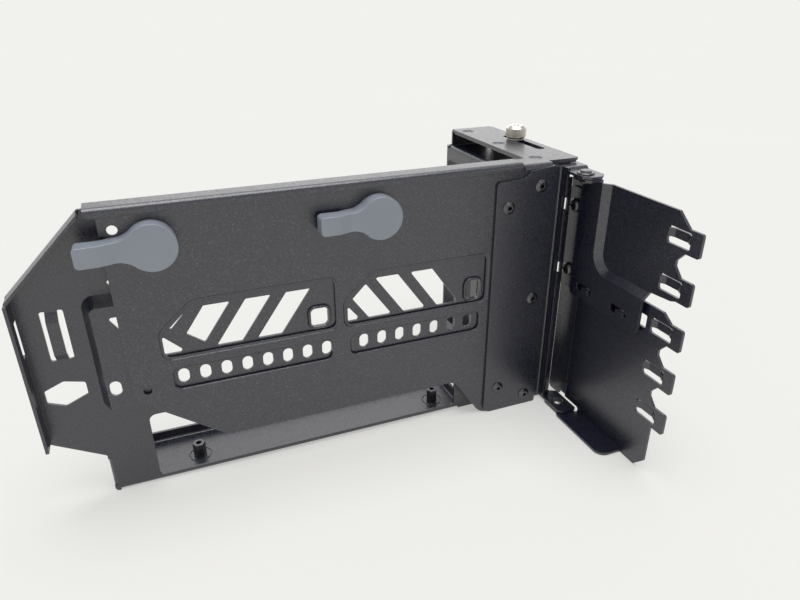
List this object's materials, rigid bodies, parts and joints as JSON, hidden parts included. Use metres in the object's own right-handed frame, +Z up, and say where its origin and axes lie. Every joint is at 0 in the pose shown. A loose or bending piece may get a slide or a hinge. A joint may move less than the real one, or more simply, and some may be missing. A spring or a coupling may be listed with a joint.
{
  "type": "graphics card support bracket",
  "caption": "Upright bracket of folded black sheet that holds a graphics card, with a sliding riser tray, clamp levers, a slotted frame, a thumbscrew clamp and a swinging finger plate.",
  "frame": {"origin": "centre of the bounding box at the floor", "axes": "+Z up, the back panel faces -Y, the finger plate is at +X"},
  "size_m": [0.2446, 0.166, 0.1352],
  "materials": {
    "black_coat": "fine textured powder coat",
    "black_fastener": "black oxide",
    "grey_plastic": "satin moulded",
    "nickel": "bright nickel",
    "steel": "plain"
  },
  "bodies": {
    "base": {"back_panel": "black_coat", "corner_plate": "black_coat", "corner_rivets": "black_fastener", "hinge_post": "black_coat", "hinge_rivet_top": "black_fastener", "hinge_rivet_bottom": "steel", "io_frame": "black_coat", "clamp_plate": "black_coat", "clamp_rivets": "black_fastener", "lever_left_spacer": "steel", "lever_right_spacer": "steel"},
    "tray": {"riser_tray": "black_coat", "standoff_left": "black_fastener", "standoff_right": "black_fastener"},
    "left_lever": {"lever_left": "grey_plastic", "lever_left_stud": "steel", "lever_left_washer": "steel", "lever_left_nut": "steel"},
    "right_lever": {"lever_right": "grey_plastic", "lever_right_stud": "steel", "lever_right_washer": "steel", "lever_right_nut": "steel"},
    "clamp": {"clamp_bar": "black_coat", "thumbscrew_washer": "nickel"},
    "thumb": {"thumbscrew": "nickel"},
    "comb": {"comb_upper": "black_coat", "comb_lower": "black_coat", "comb_screws": "black_fastener"}
  },
  "joints": [
    {"name": "tray_slide", "type": "slide", "parent": "base", "child": "tray", "axis": [-1, 0, 0], "range_m": [0, 0.04]},
    {"name": "left_lever_turn", "type": "hinge", "parent": "base", "child": "left_lever", "pos_m": [-0.0696, 0, 0.1143], "axis": [0, -1, 0], "range_deg": [0, 90]},
    {"name": "right_lever_turn", "type": "hinge", "parent": "base", "child": "right_lever", "pos_m": [0.0188, 0, 0.1143], "axis": [0, -1, 0], "range_deg": [0, 90]},
    {"name": "clamp_slide", "type": "slide", "parent": "base", "child": "clamp", "axis": [0, 1, 0], "range_m": [-0.0225, 0.008]},
    {"name": "thumbscrew_turn", "type": "hinge", "parent": "clamp", "child": "thumb", "pos_m": [0.1146, 0.0426, 0.13], "axis": [0, 0, 1], "range_deg": [0, 360]},
    {"name": "comb_swing", "type": "hinge", "parent": "base", "child": "comb", "pos_m": [0.114, -0.0185, 0.06], "axis": [0, 0, -1], "range_deg": [0, 90]}
  ]
}
